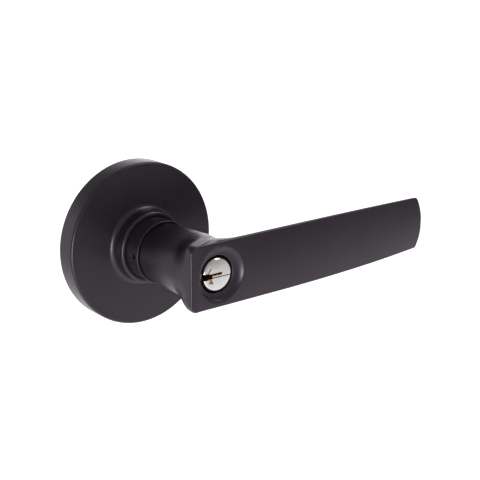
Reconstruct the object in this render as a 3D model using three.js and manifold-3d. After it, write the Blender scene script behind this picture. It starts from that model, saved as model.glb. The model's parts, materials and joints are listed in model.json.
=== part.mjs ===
// The outside half of a keyed lever lockset: a round rose with its spring cage, a lever on a
// tubular spindle, and a pin tumbler cylinder in the lever.
//
// Millimetres. +X runs along the lever, +Y into the door and +Z up. The origin is where the
// spindle's axis meets the face of the door, so "out" in this file is a distance along -Y.

import * as THREE from "three";
import { mergeVertices } from "three/addons/utils/BufferGeometryUtils.js";
import Module from "manifold-3d";

const wasm = await Module();
wasm.setup();

// ---------------------------------------------------------------- driving dimensions

const GAP = 0.3; // between two pieces that touch
const RUNNING = 0.15; // radial play of a piece that turns or slides in another

const ROSE = { radius: 38.1, depth: 9.9, wall: 1.2, edge: 1.1, crown: 0.45 };
const BOSS = { foot: 19.3, fillet: 2.6, radius: 16.75, top: 17.7, bore: 14.85, rim: 1.05 };
const COLLAR = { base: 14.6, lip: 14.5, out: 26.5, bore: 12.85, flange: 16.2, back: 9.2 };
const COUNTERBORE = { radius: 13.8, out: 25.2 }; // in the collar, for the foot of the neck
const CATCH = { out: 23.6, stem: 1.5, end: 11.2, head: 2.3, tool_hole: 1.25 };

const NECK = { out: 25.6, radius: 13.4, flared: 14.4, flare_end: 48.4 };
const SHANK = { radius: 12.5, out: 12 };
const FACE = { out: 67.5, crown: 0.9, left: -14.9, corner: 3.5, edge: 0.8 };
const ARM = { length: 127.6, half_height: 14.65, tip_half_height: 12.75, bend: 5, back: 59.5 };
const ARM_BAND = 1.4; // depth of the flat strip along the arm's top and bottom edges
const INNER_FILLET = 12; // between the neck and the back of the arm
const TIP_ROUND = 1.2; // how far the tip bulges past the last full section
const BAND_TURN = { start: 0.25, end: 0.9 }; // radians round the fillet
const HEAD = { flare_start: 49.5, flare_end: 63, square_start: 51.5, square_end: 65.5 };

const BORE = { radius: 9.4, end: 63.6, slot_x: 11.75, slot_half: 3.45 };
const DISH = { radius: 11.9, shift: 1.3, floor_radius: 9.3, floor: 65.7, hole: 8.45 };

const PLUG = { radius: 6.35, head: 7.45, face: 66.2, shoulder: 63.7, back: 39.55, tail: 36.2 };
const SHELL = { radius: 9.2, front: 63.4, back: 39.6, bible_x: 11.5, bible_half: 3.2 };
const PINS = { first: 60.4, pitch: 3.9, radius: 1.35, chamber: 1.5, lengths: [5.6, 6.4, 4.8, 6, 5.2] };
const TAILPIECE = { half_width: 2.6, half_thickness: 0.8, back: -32 };

const SPINDLE = { radius: 9.2, bore: 7.9, front: 33.8, back: -4, drive_back: -24 };
const PLATE = { radius: 36.6, back: 0.3, front: 3.2, bore: 11.5, recess: 14.6, recess_out: 1.7 };
const POST = { radius: 3.9, offset: 19, back: -30, bore: 1.65, bore_out: -6, spigot: 2.5 };
const SPRING = { radius: 20, wire: 0.65, turns: 2, back: 4.95, pitch: 1.5, leg_end: 12.9 };
const CAM = { radius: 12, back: 4.3, front: 6, arm: 15.2, arm_half: 5.5, arm_front: 8.2 };
const STOP = { inner: 16, outer: 18.4, half: 5.5, front: 8.9 };
const LEVER_SWING = 50; // degrees each way

// ---------------------------------------------------------------- shape helpers

const finish = (color, roughness, metalness) =>
  new THREE.MeshStandardMaterial({ color, roughness, metalness });
const MATTE_BLACK = finish(0x2b282b, 0.45, 0.3);
const CHROME = finish(0xd8d8da, 0.12, 1);
const BRASS = finish(0xb08d3c, 0.3, 1);
const STEEL = finish(0x9da0a3, 0.35, 1);
const ZINC = finish(0x8a8c8e, 0.5, 0.8);
const SPRING_STEEL = finish(0x6c6e72, 0.3, 1);
const NYLON = finish(0xd9d6cc, 0.6, 0);

function solidOf(geometry) {
  const bare = (geometry.index ? geometry.toNonIndexed() : geometry).clone();
  bare.deleteAttribute("normal");
  bare.deleteAttribute("uv");
  const merged = mergeVertices(bare, 1e-4);
  const solid = new wasm.Manifold(
    new wasm.Mesh({
      numProp: 3,
      vertProperties: merged.attributes.position.array,
      triVerts: new Uint32Array(merged.index.array),
    }),
  );
  return solid;
}

function geometryOf(solid) {
  const mesh = solid.getMesh();
  const geometry = new THREE.BufferGeometry();
  geometry.setAttribute("position", new THREE.BufferAttribute(mesh.vertProperties, 3));
  geometry.setIndex(new THREE.BufferAttribute(mesh.triVerts, 1));
  return geometry;
}

const joined = (first, ...rest) => rest.reduce((sum, piece) => sum.add(piece), first);
const cut = (base, ...tools) => tools.reduce((left, tool) => left.subtract(tool), base);

// A solid of revolution about the spindle's axis. The outline is a closed loop of [radius, out].
function turned(outline, segments = 36) {
  const points = outline.map(([radius, out]) => new THREE.Vector2(radius, -out));
  points.push(points[0].clone());
  const facingOut = THREE.ShapeUtils.area(points) > 0 ? points : points.reverse();
  return solidOf(new THREE.LatheGeometry(facingOut, segments));
}

// Points of a round stretch of an outline, from one angle to another, in degrees.
function arc(radius, out, bend, from, to, steps) {
  return Array.from({ length: steps + 1 }, (_, i) => {
    const angle = THREE.MathUtils.degToRad(from + ((to - from) * i) / steps);
    return [radius + bend * Math.cos(angle), out + bend * Math.sin(angle)];
  });
}

const tube = (inner, outer, back, front, segments = 32) =>
  turned([[inner, back], [outer, back], [outer, front], [inner, front]], segments);

function rodY(radius, back, front, x = 0, z = 0, segments = 20) {
  const rod = new THREE.CylinderGeometry(radius, radius, front - back, segments);
  return solidOf(rod.translate(x, -(back + front) / 2, z));
}

function rodX(radius, from, to, out, z = 0, segments = 12) {
  const rod = new THREE.CylinderGeometry(radius, radius, to - from, segments);
  return solidOf(rod.rotateZ(Math.PI / 2).translate((from + to) / 2, -out, z));
}

function block(x0, x1, back, front, z0, z1) {
  const box = new THREE.BoxGeometry(x1 - x0, front - back, z1 - z0);
  return solidOf(box.translate((x0 + x1) / 2, -(back + front) / 2, (z0 + z1) / 2));
}

// A flat outline of [x, z] points, given a thickness from back to front.
function slab(outline, back, front) {
  const shape = new THREE.Shape(outline.map(([x, z]) => new THREE.Vector2(x, z)));
  const plate = new THREE.ExtrudeGeometry(shape, { depth: front - back, bevelEnabled: false });
  return solidOf(plate.rotateX(Math.PI / 2).translate(0, -back, 0));
}

// A block in the shape of a piece of a ring: angles are degrees from +X towards +Z.
function ringBlock(inner, outer, middle, half, back, front, steps = 4) {
  const angleAt = (i) => THREE.MathUtils.degToRad(middle - half + (2 * half * i) / steps);
  const along = (radius) =>
    Array.from({ length: steps + 1 }, (_, i) => [
      radius * Math.cos(angleAt(i)),
      radius * Math.sin(angleAt(i)),
    ]);
  return slab([...along(outer), ...along(inner).reverse()], back, front);
}

// Round wire along a path of Vector3 points.
function wire(points, radius, steps, sides = 8) {
  const section = new THREE.Shape();
  for (let i = 0; i < sides; i++) {
    const angle = (2 * Math.PI * i) / sides;
    section[i ? "lineTo" : "moveTo"](radius * Math.cos(angle), radius * Math.sin(angle));
  }
  section.closePath();
  const extrudePath = new THREE.CatmullRomCurve3(points);
  return solidOf(new THREE.ExtrudeGeometry(section, { steps, extrudePath, bevelEnabled: false }));
}

// A small compression spring along X, from one x to another, centred on z = 0.
function compressionSpring(from, to, out, radius, wireRadius, turns, perTurn = 6) {
  const count = turns * perTurn;
  const length = to - from - 2 * wireRadius;
  const points = Array.from({ length: count + 1 }, (_, i) => {
    const angle = (2 * Math.PI * i) / perTurn;
    const x = from + wireRadius + (length * i) / count;
    return new THREE.Vector3(x, -out + radius * Math.cos(angle), radius * Math.sin(angle));
  });
  return wire(points, wireRadius, count, 4);
}

// ---------------------------------------------------------------- rose, collar and spring cage

function roseCover() {
  const { radius, depth, wall, edge, crown } = ROSE;
  const { foot, fillet, top, bore, rim } = BOSS;
  const face = depth + crown; // where the dished face meets the foot of the boss
  const outside = [
    [radius, 0],
    ...arc(radius - edge, depth - edge, edge, 0, 90, 2),
    ...arc(foot, face + fillet, fillet, 270, 188, 4),
    ...arc(BOSS.radius - rim, top - rim, rim, 0, 90, 3),
    [bore, top],
  ];
  const inside = [
    [bore, top - 2],
    [BOSS.radius - wall + 0.2, top - 2.8],
    ...arc(foot + 0.2, face + fillet - 0.6, fillet + 0.8, 190, 270, 3),
    [radius - wall - 0.5, depth - wall],
    [radius - wall, depth - wall - 0.5],
    [radius - wall, 0],
  ];
  return turned([...outside, ...inside], 56);
}

function collar() {
  const { base, lip, out, bore, flange, back } = COLLAR;
  const rounding = (lip - COUNTERBORE.radius) / 2;
  const sleeve = turned([
    [bore, back],
    [flange, back],
    [flange, back + 1.1],
    [base, back + 1.1],
    [base, BOSS.top],
    ...arc(lip - rounding, out - rounding, rounding, 0, 180, 4),
    [COUNTERBORE.radius, COUNTERBORE.out],
    [bore, COUNTERBORE.out],
  ]);
  return cut(sleeve, rodX(CATCH.tool_hole, -base - 2, -bore + 2, CATCH.out));
}

function mountingPlate() {
  const { radius, back, front, bore, recess, recess_out } = PLATE;
  const disc = turned([
    [bore, recess_out],
    [recess, recess_out],
    [recess, back],
    [radius - 0.6, back],
    [radius, back + 0.6],
    [radius, front],
    [bore, front],
  ]);
  const limit = LEVER_SWING + CAM.arm_half + 6;
  const stops = [
    ringBlock(STOP.inner, STOP.outer, 90, STOP.half, front - 0.5, STOP.front),
    ringBlock(13.5, 15.4, 90 - limit, 4, front - 0.5, 7.4),
    ringBlock(13.5, 15.4, 90 + limit, 4, front - 0.5, 7.4),
  ];
  const holes = [1, -1].map((side) =>
    rodY(POST.spigot + 0.1, back - 1, front + 1, 0, side * POST.offset, 20),
  );
  const windows = [35, 145, 215, 325].map((angle) =>
    ringBlock(23, 31, angle, 15, back - 1, front + 1, 5),
  );
  return cut(joined(disc, ...stops), ...holes, ...windows);
}

function mountingPost(side) {
  const z = side * POST.offset;
  const barrel = rodY(POST.radius, POST.back, PLATE.back - 0.02, 0, z);
  const spigot = rodY(POST.spigot, PLATE.back - 0.5, PLATE.front, 0, z, 20);
  const thread = rodY(POST.bore, POST.back - 1, POST.bore_out, 0, z, 16);
  return cut(joined(barrel, spigot), thread);
}

const spindleBushing = () =>
  turned([
    [SPINDLE.radius + RUNNING, PLATE.recess_out + 0.05],
    [PLATE.bore - 0.1, PLATE.recess_out + 0.05],
    [PLATE.bore - 0.1, PLATE.front + 0.05],
    [13.1, PLATE.front + 0.05],
    [13.1, CAM.back - 0.15],
    [SPINDLE.radius + RUNNING, CAM.back - 0.15],
  ]);

// A two-turn torsion spring whose legs straddle the plate's stop and the cam's arm.
function returnSpring() {
  const { radius, wire: wireRadius, turns, back, pitch, leg_end } = SPRING;
  const legAngle = 9.4; // degrees either side of the top
  const perTurn = 16;
  const count = turns * perTurn;
  const start = 90 + legAngle;
  const lead = 180 / perTurn;
  const sweep = 360 * turns - 2 * legAngle;
  const at = (r, degrees, out) => {
    const angle = THREE.MathUtils.degToRad(degrees);
    return new THREE.Vector3(r * Math.cos(angle), -out, r * Math.sin(angle));
  };
  const coil = Array.from({ length: count + 1 }, (_, i) => {
    const share = i / count;
    return at(radius, start + lead + (sweep - 2 * lead) * share, back + pitch * turns * share);
  });
  const front = back + pitch * turns;
  const path = [
    at(leg_end, start, back),
    at((leg_end + radius) / 2, start, back),
    at(radius - 0.9, start + 1, back),
    ...coil.slice(1, -1),
    at(radius - 0.9, start + sweep - 1, front),
    at((leg_end + radius) / 2, start + sweep, front),
    at(leg_end, start + sweep, front),
  ];
  return wire(path, wireRadius, 44, 6);
}

function camPlate() {
  const ring = tube(SPINDLE.radius + 0.1, CAM.radius, CAM.back, CAM.front);
  const foot = ringBlock(CAM.radius - 0.8, CAM.arm, 90, CAM.arm_half, CAM.back, CAM.arm_front);
  const notches = [1, -1].map((side) =>
    block(side > 0 ? 8 : -10.5, side > 0 ? 10.5 : -8, CAM.back - 1, CAM.front + 1, -1.7, 1.7),
  );
  return cut(joined(ring, foot), ...notches);
}

// ---------------------------------------------------------------- spindle and catch

function spindle() {
  const { radius, bore, front, back, drive_back } = SPINDLE;
  const groove = { back: 0.45, front: 1.1, radius: 8.75 };
  const body = turned([
    [3.3, back],
    [radius - 0.5, back],
    [radius, back + 0.5],
    [radius, groove.back],
    [groove.radius, groove.back],
    [groove.radius, groove.front],
    [radius, groove.front],
    [radius, CAM.front + 0.05],
    [10.9, CAM.front + 0.05],
    [10.9, CAM.front + 1.1],
    [radius, CAM.front + 1.1],
    [radius, front - 0.5],
    [radius - 0.5, front],
    [bore, front],
    [bore, back + 2],
    [3.3, back + 2],
  ]);
  const camKeys = block(-10.2, 10.2, CAM.back + 0.1, CAM.front + 0.3, -1.5, 1.5);
  const hollow = rodY(bore + 0.6, CAM.back - 1, CAM.front + 1, 0, 0, 32);
  const leverKey = block(bore + 0.8, BORE.slot_x - GAP, SHANK.out + 1, front - 1, -3, 3);
  const drive = rodY(radius - 1, drive_back, back + 0.5, 0, 0, 32);
  const aboveDrive = block(-12, 12, drive_back - 1, back + 1, -3.4, 12);
  const window = rodX(CATCH.stem + RUNNING, -radius - 1, -bore + 1, CATCH.out);
  const keyed = joined(body, cut(camKeys, hollow), leverKey, cut(drive, aboveDrive));
  return cut(keyed, window);
}

// An open ring with two ears, in the spindle's groove.
function circlip() {
  const ring = tube(8.85, 10.9, 0.5, 1.05);
  const opening = block(-1.6, 1.6, 0, 2, -13, -6);
  const ears = [1, -1].map((side) => rodY(1.35, 0.5, 1.05, side * 2.7, -11.2, 16));
  const eyes = [1, -1].map((side) => rodY(0.55, 0, 2, side * 2.7, -11.2, 10));
  return cut(joined(cut(ring, opening), ...ears), ...eyes);
}

function leverCatch() {
  const head = rodX(CATCH.head, -7.5, -6.9, CATCH.out);
  const stem = rodX(CATCH.stem, -CATCH.end, -7, CATCH.out);
  return joined(stem, head);
}

function catchBridge() {
  const { out } = CATCH;
  const seat = block(-3.5, -3, out - 3, out + 3, -4, 4);
  const legs = [1, -1].map((side) =>
    block(-6.5, -3.2, out - 3, out + 3, side > 0 ? 3.2 : -4, side > 0 ? 4 : -3.2),
  );
  return joined(seat, ...legs);
}

// ---------------------------------------------------------------- lever

const smooth = (from, to, value) => THREE.MathUtils.smoothstep(value, from, to);
const lerp = THREE.MathUtils.lerp;

// The front face leans back towards the door as it runs to the tip.
const faceOut = (x) => FACE.out - ARM.bend * (Math.max(x - 5, 0) / (ARM.length - 5)) ** 2;

function halfHeight(x) {
  const along = Math.max(x - 30, 0) / (ARM.length - 30);
  return ARM.half_height - (ARM.half_height - ARM.tip_half_height) * along ** 2;
}

function neckRadius(out) {
  const { radius, flared, flare_end, out: start } = NECK;
  const left = Math.max(flare_end - out, 0) / (flare_end - start);
  return flared - (flared - radius) * left ** 1.8;
}

// How far the round neck has turned into the square head.
const squareShare = (out) => smooth(HEAD.square_start, HEAD.square_end, out);

// The head's left side sweeps out of the neck and then runs on straight to the front face.
const leftSide = (out) =>
  lerp(-neckRadius(out), FACE.left, smooth(HEAD.flare_start, HEAD.flare_end, out));

// How far a rounded edge of this radius draws in, at a depth from the side it rounds into.
const drawIn = (radius, depth) => {
  const left = THREE.MathUtils.clamp(radius - depth, 0, radius);
  return radius - Math.sqrt(radius * radius - left * left);
};

// Half the height of the squared head and arm at a point of the plan view.
const squareHeight = (x, out) =>
  halfHeight(x) -
  drawIn(FACE.corner, x - leftSide(out)) -
  drawIn(FACE.edge, faceOut(x) - out);

// One section of the lever from the outer point to the inner point of its plan view: the upper
// half as [distance from the outer point, height] pairs, from the outer point round to the inner.
function halfSection(outer, inner, squareness, band) {
  const width = outer.distanceTo(inner);
  const at = (s) => outer.clone().lerp(inner, s / width);
  const height = (s) => squareHeight(at(s).x, at(s).y);
  const onFace = smooth(FACE.left, FACE.left + 6, outer.x);
  const rounding = lerp(FACE.corner * 1.1, FACE.edge, onFace);
  const half = [];
  for (const share of [0, 0.55, 1]) {
    half.push([onFace * FACE.crown * share ** 2, height(0) * share]);
  }
  for (const degrees of [40, 90]) {
    const share = 1 - Math.cos(THREE.MathUtils.degToRad(degrees));
    const depth = rounding * share;
    half.push([onFace * FACE.crown + depth, height(depth)]);
  }
  const waist = Math.max(band, rounding + onFace * FACE.crown + 0.2);
  for (const degrees of [0, 22, 44, 62, 77, 90]) {
    const angle = THREE.MathUtils.degToRad(degrees);
    half.push([lerp(waist, width, Math.sin(angle)), height(waist) * Math.cos(angle)]);
  }
  const centre = width / 2;
  const square = height(centre) + drawIn(FACE.edge, faceOut(at(centre).x) - at(centre).y);
  const round = squareness > 0 ? square : centre;
  return half.map(([s, z]) => {
    const angle = Math.atan2(z, centre - s);
    const reach = 1 / Math.hypot(Math.cos(angle) / centre, Math.sin(angle) / round);
    return [
      lerp(centre - reach * Math.cos(angle), s, squareness),
      lerp(reach * Math.sin(angle), z, squareness),
    ];
  });
}

// The stations of the lever, from the neck's foot round the head to the tip.
function leverStations() {
  const pivot = new THREE.Vector2(neckRadius(45) + INNER_FILLET, ARM.back - INNER_FILLET);
  const stations = [];
  const add = (outer, inner, squareness, band) => stations.push({ outer, inner, squareness, band });
  for (const out of [NECK.out, 31, 35, 40]) {
    const radius = neckRadius(out);
    add(new THREE.Vector2(-radius, out), new THREE.Vector2(radius, out), 0, radius);
  }
  const fan = (outer) => {
    const spoke = outer.clone().sub(pivot);
    const angle = Math.atan2(spoke.y, -spoke.x);
    const width = spoke.length() - INNER_FILLET;
    const inner = pivot.clone().add(spoke.setLength(INNER_FILLET));
    const band = lerp(width / 2, ARM_BAND, smooth(BAND_TURN.start, BAND_TURN.end, angle));
    add(outer, inner, squareShare(outer.y), band);
  };
  for (const out of [45, 48.4, 51, 54, 57, 60, 63]) {
    fan(new THREE.Vector2(leftSide(out), out));
  }
  const rim = FACE.edge * 0.7;
  fan(new THREE.Vector2(FACE.left, FACE.out - FACE.edge));
  fan(new THREE.Vector2(FACE.left + FACE.edge - rim, FACE.out - FACE.edge + rim));
  for (const x of [FACE.left + FACE.edge, -13.5, -9, -3, 3, 8, 12, 16, 21]) {
    fan(new THREE.Vector2(x, faceOut(x)));
  }
  const thickness = (x) => lerp(faceOut(pivot.x) - ARM.back, 7, (x - pivot.x) / (ARM.length - pivot.x));
  for (const x of [28, 44, 60, 75, 90, 104, 116, 123, ARM.length - TIP_ROUND]) {
    const back = faceOut(x) - thickness(x);
    add(new THREE.Vector2(x, faceOut(x)), new THREE.Vector2(x, back), 1, ARM_BAND);
  }
  return stations;
}

// The lever's outer skin: a loft through its stations, closed by a flat foot and a bulging tip.
function leverBody() {
  const rings = leverStations().map(({ outer, inner, squareness, band }) => {
    const along = inner.clone().sub(outer).normalize();
    const upper = halfSection(outer, inner, squareness, band).map(([s, z]) => {
      const flat = outer.clone().addScaledVector(along, s);
      const bulge = 2.6 * smooth(90, ARM.length, flat.x) * (z / halfHeight(flat.x)) ** 2;
      return new THREE.Vector3(flat.x - bulge, -flat.y, z);
    });
    const lower = upper.slice(1, -1).reverse().map((p) => new THREE.Vector3(p.x, p.y, -p.z));
    return [...upper, ...lower];
  });
  const last = rings.at(-1);
  const middle = last.reduce((sum, p) => sum.add(p), new THREE.Vector3()).divideScalar(last.length);
  for (const [share, ahead] of [[0.93, 0.6 * TIP_ROUND], [0.8, TIP_ROUND]]) {
    rings.push(
      last.map((p) => {
        const shrunk = p.clone().lerp(middle, 1 - share);
        shrunk.x = p.x + ahead;
        return shrunk;
      }),
    );
  }
  return solidOf(loft(rings));
}

// A closed skin through rings of equally many points, with a fan over each end.
function loft(rings) {
  const size = rings[0].length;
  const positions = rings.flat().flatMap((p) => p.toArray());
  const index = [];
  for (let i = 0; i + 1 < rings.length; i++) {
    for (let j = 0; j < size; j++) {
      const a = i * size + j;
      const b = i * size + ((j + 1) % size);
      index.push(a, a + size, b, b, a + size, b + size);
    }
  }
  const cap = (start, reversed) => {
    const centre = positions.length / 3;
    const ring = rings[start / size];
    const middle = ring.reduce((sum, p) => sum.add(p), new THREE.Vector3()).divideScalar(size);
    positions.push(...middle.toArray());
    for (let j = 0; j < size; j++) {
      const pair = [start + j, start + ((j + 1) % size)];
      index.push(centre, ...(reversed ? pair : pair.reverse()));
    }
  };
  cap(0, true);
  cap((rings.length - 1) * size, false);
  const geometry = new THREE.BufferGeometry();
  geometry.setAttribute("position", new THREE.Float32BufferAttribute(positions, 3));
  return geometry.setIndex(index);
}

// The scooped dish round the plug. Its rim is wider than its floor and set further along the arm.
function dish() {
  const { radius, shift, floor_radius, floor } = DISH;
  const segments = 36;
  const ring = (share, out) => {
    const r = lerp(floor_radius, radius, share);
    return Array.from({ length: segments }, (_, i) => {
      const angle = (-2 * Math.PI * i) / segments;
      return new THREE.Vector3(shift * share + r * Math.cos(angle), -out, r * Math.sin(angle));
    });
  };
  const half_way = lerp(floor, FACE.out, 0.3);
  return solidOf(loft([ring(0, floor), ring(0.6, half_way), ring(1, FACE.out), ring(1, FACE.out + 2)]));
}

// The passage the cylinder slides along: a round bore with a slot beside it for the pin stacks.
function cylinderPassage(back, front) {
  const { radius, slot_x, slot_half } = BORE;
  const round = rodY(radius, back, front, 0, 0, 32);
  return joined(round, block(0, slot_x, back, front, -slot_half, slot_half));
}

function lever() {
  const shank = turned([
    [0, SHANK.out],
    [SHANK.radius - 0.5, SHANK.out],
    [SHANK.radius, SHANK.out + 0.5],
    [SHANK.radius, NECK.out + 1],
    [0, NECK.out + 1],
  ]);
  const hole = rodY(DISH.hole, BORE.end - 1, FACE.out + 1, 0, 0, 36);
  const window = rodX(CATCH.stem + RUNNING, -SHANK.radius - 1, -SPINDLE.radius + 1, CATCH.out);
  const passage = cylinderPassage(SHANK.out - 1, BORE.end);
  return cut(joined(shank, leverBody()), passage, hole, dish(), window);
}

// ---------------------------------------------------------------- cylinder

const chambers = (from, to, radius) =>
  pinOuts().map((out) => rodX(radius, from, to, out, 0, 12));

function pinOuts() {
  return PINS.lengths.map((_, i) => PINS.first - PINS.pitch * i);
}

function cylinderHousing() {
  const { radius, front, back, bible_x, bible_half } = SHELL;
  const barrel = turned(
    [
      [0, back],
      [radius, back],
      [radius, front - 1.8],
      [radius - 0.6, front - 1.5],
      [7.1, front],
      [0, front],
    ],
    32,
  );
  const bible = block(0, bible_x, back, front - 1, -bible_half, bible_half);
  const bore = rodY(PLUG.radius + RUNNING, back - 1, front + 1, 0, 0, 32);
  const capSeat = block(bible_x - 0.45, bible_x + 1, back + 1.8, front - 1.5, -1.9, 1.9);
  const stacks = chambers(PLUG.radius - 0.5, bible_x + 1, PINS.chamber);
  return cut(joined(barrel, bible), bore, capSeat, ...stacks);
}

function pinCover() {
  const top = SHELL.bible_x - 0.05;
  return block(top - 0.35, top, SHELL.back + 1.9, SHELL.front - 1.6, -1.8, 1.8);
}

// The keyway opens at the plug's rim on the side away from the pins and narrows in steps.
const KEYWAY = [
  [-9, -1.7],
  [-3.3, -1.7],
  [-2.6, -1.3],
  [2.6, -1.3],
  [2.6, -0.85],
  [-2.6, -0.85],
  [-2.6, -0.25],
  [2.4, -0.25],
  [2.4, 0.85],
  [-4.2, 0.85],
  [-4.4, 1.25],
  [-9, 1.25],
];

// Two shallow nicks above and below the keyway's throat.
const NICKS = [
  [
    [-5.1, 1.5],
    [-4.4, 1.4],
    [-2.8, 3.2],
    [-3.4, 3.4],
  ],
  [
    [-4.1, -1.2],
    [-3.3, -1.2],
    [-2.2, -3.8],
    [-4.6, -3.3],
  ],
];

function plug() {
  const { radius, head, face, shoulder, back, tail } = PLUG;
  const body = turned(
    [
      [0, tail],
      [4.9, tail],
      [4.9, back - 0.75],
      [4.3, back - 0.75],
      [4.3, back],
      [radius, back],
      [radius, shoulder],
      [head, shoulder],
      [head, face - 0.55],
      [head - 0.55, face],
      [0, face],
    ],
    36,
  );
  const keyway = slab(KEYWAY, back + 2, face + 1);
  const nicks = NICKS.map((nick) => slab(nick, face - 0.7, face + 1));
  const groove = block(2.4, head - 0.4, face - 0.55, face + 1, -1.3, -0.85);
  const tailSlot = block(-1, 1, tail - 1, tail + 2.2, -2.75, 2.75);
  const drilled = chambers(-1.6, radius + 1, PINS.chamber);
  return cut(body, keyway, ...nicks, groove, tailSlot, ...drilled);
}

// A bottom pin reaches from the shear line into the keyway, and its tip is a cone.
function bottomPin(out, length) {
  const top = 6.2;
  const tip = top - length;
  const { radius } = PINS;
  const pin = new THREE.LatheGeometry(
    [
      [0, tip],
      [0.5, tip],
      [radius, tip + 1],
      [radius, top - 0.2],
      [radius - 0.25, top],
      [0, top],
    ].map(([r, along]) => new THREE.Vector2(r, along)),
    12,
  );
  return solidOf(pin.rotateZ(-Math.PI / 2).translate(0, -out, 0));
}

const driverPin = (out) => rodX(PINS.radius, 6.6, 8.5, out, 0, 12);
const pinSpring = (out) => compressionSpring(8.6, 11, out, 0.95, 0.15, 3);

function plugClip() {
  const ring = tube(4.4, 7.3, PLUG.back - 0.68, PLUG.back - 0.08, 24);
  return cut(ring, block(-3.1, 3.1, PLUG.back - 2, PLUG.back + 1, -9, -2));
}

function tailpiece() {
  const { half_width, half_thickness, back } = TAILPIECE;
  return block(-half_thickness, half_thickness, back, PLUG.tail + 2, -half_width, half_width);
}

const cylinderSpacer = () => tube(7.6, SPINDLE.radius, SPINDLE.front + 0.1, SHELL.back - 0.1, 32);

// ---------------------------------------------------------------- assembly

const lockset = new THREE.Group();

function addTo(group, name, solid, material) {
  const mesh = new THREE.Mesh(geometryOf(solid), material);
  mesh.name = name;
  group.add(mesh);
}

const rose = new THREE.Group();
addTo(rose, "rose_cover", roseCover(), MATTE_BLACK);
addTo(rose, "collar", collar(), MATTE_BLACK);
addTo(rose, "mounting_plate", mountingPlate(), ZINC);
addTo(rose, "upper_mounting_post", mountingPost(1), STEEL);
addTo(rose, "lower_mounting_post", mountingPost(-1), STEEL);
addTo(rose, "spindle_bushing", spindleBushing(), NYLON);
addTo(rose, "thrust_washer", tube(SPINDLE.radius + RUNNING, 13.9, 1.1, PLATE.recess_out), STEEL);
addTo(rose, "return_spring", returnSpring(), SPRING_STEEL);

const handle = new THREE.Group();
addTo(handle, "lever", lever(), MATTE_BLACK);
addTo(handle, "spindle", spindle(), STEEL);
addTo(handle, "cam_plate", camPlate(), STEEL);
addTo(handle, "circlip", circlip(), SPRING_STEEL);
addTo(handle, "lever_catch", leverCatch(), STEEL);
addTo(handle, "catch_spring", compressionSpring(-6.85, -3.55, CATCH.out, 1.4, 0.18, 3), SPRING_STEEL);
addTo(handle, "catch_bridge", catchBridge(), STEEL);

const cylinder = new THREE.Group();
addTo(cylinder, "cylinder_housing", cylinderHousing(), BRASS);
addTo(cylinder, "pin_cover", pinCover(), BRASS);
addTo(cylinder, "cylinder_spacer", cylinderSpacer(), STEEL);
addTo(cylinder, "plug", plug(), CHROME);
addTo(cylinder, "plug_clip", plugClip(), SPRING_STEEL);
addTo(cylinder, "tailpiece", tailpiece(), STEEL);
pinOuts().forEach((out, i) => {
  addTo(cylinder, `bottom_pin_${i + 1}`, bottomPin(out, PINS.lengths[i]), BRASS);
  addTo(cylinder, `driver_pin_${i + 1}`, driverPin(out), BRASS);
  addTo(cylinder, `pin_spring_${i + 1}`, pinSpring(out), SPRING_STEEL);
});
handle.add(cylinder);

lockset.add(rose, handle);

export default lockset;
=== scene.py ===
"""The outside half of a keyed lever lockset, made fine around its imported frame.

Shapes are worked out in millimetres and stored in metres. +X runs along the lever, +Y into the
door and +Z up, so "out" is a distance from the door's face along -Y.
"""

import json
import math

import bmesh
import bpy
from mathutils import Matrix, Quaternion, Vector


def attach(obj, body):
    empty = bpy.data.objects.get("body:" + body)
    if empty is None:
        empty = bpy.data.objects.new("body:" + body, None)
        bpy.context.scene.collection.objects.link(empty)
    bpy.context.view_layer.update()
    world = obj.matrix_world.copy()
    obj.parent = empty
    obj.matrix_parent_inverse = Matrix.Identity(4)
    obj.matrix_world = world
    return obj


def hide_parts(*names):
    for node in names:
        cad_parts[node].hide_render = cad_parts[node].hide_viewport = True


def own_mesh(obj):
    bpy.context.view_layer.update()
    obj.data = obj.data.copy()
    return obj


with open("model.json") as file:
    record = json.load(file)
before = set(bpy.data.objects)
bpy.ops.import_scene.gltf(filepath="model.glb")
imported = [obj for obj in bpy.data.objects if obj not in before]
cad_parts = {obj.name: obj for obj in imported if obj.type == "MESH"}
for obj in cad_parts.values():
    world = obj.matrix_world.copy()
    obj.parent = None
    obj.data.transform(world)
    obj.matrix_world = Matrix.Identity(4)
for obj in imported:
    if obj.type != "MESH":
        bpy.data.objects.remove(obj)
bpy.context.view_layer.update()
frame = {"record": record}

MM = 0.001  # metres
GAP = 0.3  # between two pieces that touch
RUNNING = 0.15  # radial play of a piece that turns in another

ROSE = dict(radius=38.1, depth=9.9, wall=1.2, edge=1.1, crown=0.45)
BOSS = dict(foot=19.3, fillet=2.6, radius=16.75, top=17.7, bore=14.85, rim=1.05)
COLLAR = dict(base=14.6, lip=14.5, out=26.5, bore=12.85, flange=16.2, back=9.2)
COUNTERBORE = dict(radius=13.8, out=25.2)  # in the collar, for the foot of the neck
CATCH = dict(out=23.6, stem=1.5, end=11.2, head=2.3, tool_hole=1.25)
NECK = dict(out=25.6, radius=13.4, flared=14.4, flare_end=48.4, straight_end=44.4, turn_start=45)
SHANK = dict(radius=12.5, out=12)
FACE = dict(out=67.5, crown=0.9, left=-14.9, corner=3.5, edge=0.8)
ARM = dict(length=127.6, half=14.65, tip_half=12.75, bend=5, back=59.5, bulge=2.6, band=1.4)
ARM |= dict(bend_start=5, taper_start=30, bulge_start=90, tip_thickness=7)
INNER_FILLET = 12  # between the neck and the back of the arm
TIP_ROUND = 1.2  # how far the tip bulges past the last full section
TIP_DRAW = 1.1  # how far the rounding of the tip draws in
HEAD = dict(flare_start=49.5, flare_end=63, square_start=51.5, square_end=65.5)
BAND_TURN = dict(start=0.25, end=0.9)  # radians round the fillet
BORE = dict(radius=9.4, end=63.6, slot_x=11.75, slot_half=3.45)
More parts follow.
